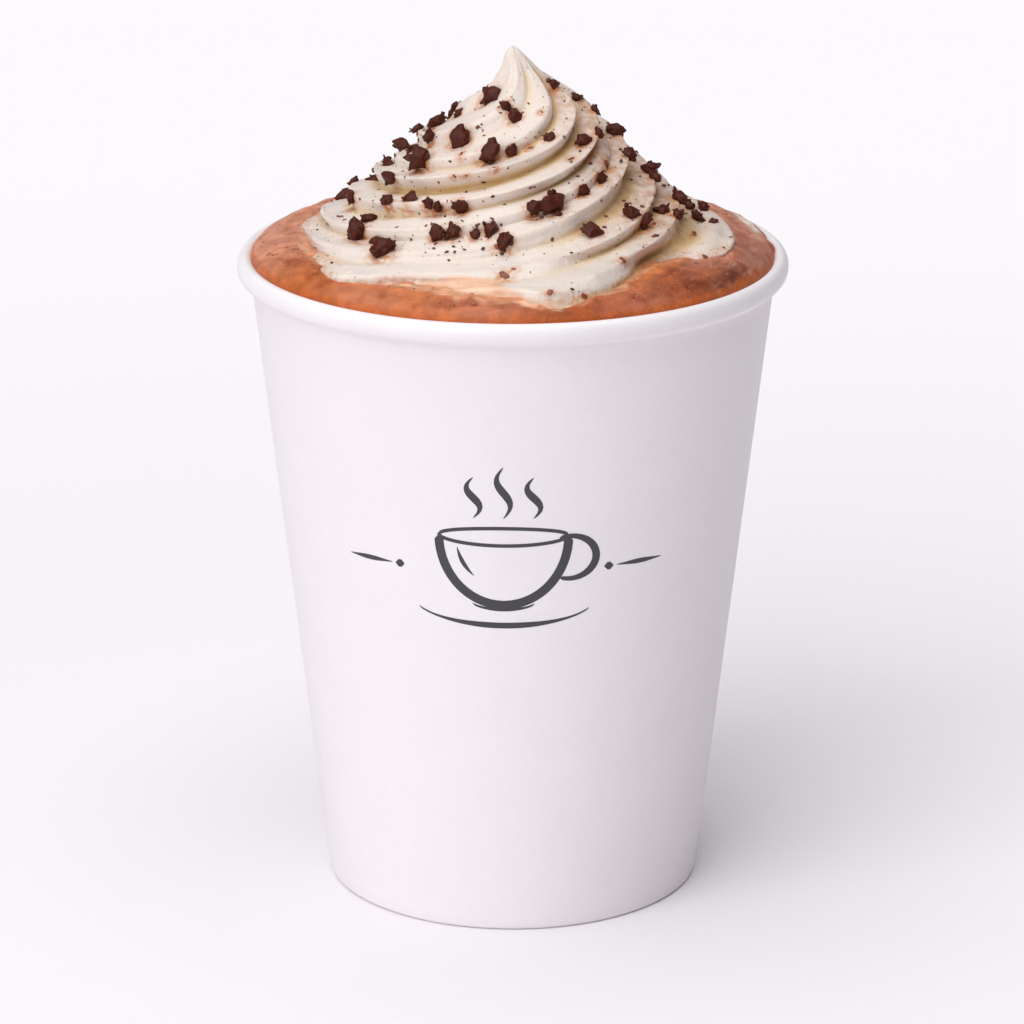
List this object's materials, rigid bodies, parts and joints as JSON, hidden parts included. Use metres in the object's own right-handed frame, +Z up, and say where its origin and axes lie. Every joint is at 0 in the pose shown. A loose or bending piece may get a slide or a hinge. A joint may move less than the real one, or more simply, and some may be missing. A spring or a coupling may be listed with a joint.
{
  "type": "hot chocolate",
  "caption": "Paper cup of hot chocolate, filled to a domed froth and topped with a piped swirl of whipped cream with chocolate flakes",
  "frame": {"origin": "middle of the cup's bottom, on the surface it stands on", "axes": "+Z up along the cup, -Y towards the viewer of the front with the print, +X to the viewer's right"},
  "size_m": [0.09, 0.09, 0.1411],
  "materials": {
    "paper": "smooth white coated paperboard",
    "print": "flat charcoal ink",
    "drink": "moist milk chocolate froth",
    "cream": "soft satin whipped cream",
    "chocolate": "broken dark chocolate"
  },
  "bodies": {
    "root": {"cup_wall": "paper", "cup_base": "paper", "hot_chocolate": "drink", "whipped_cream": "cream"}
  },
  "joints": []
}
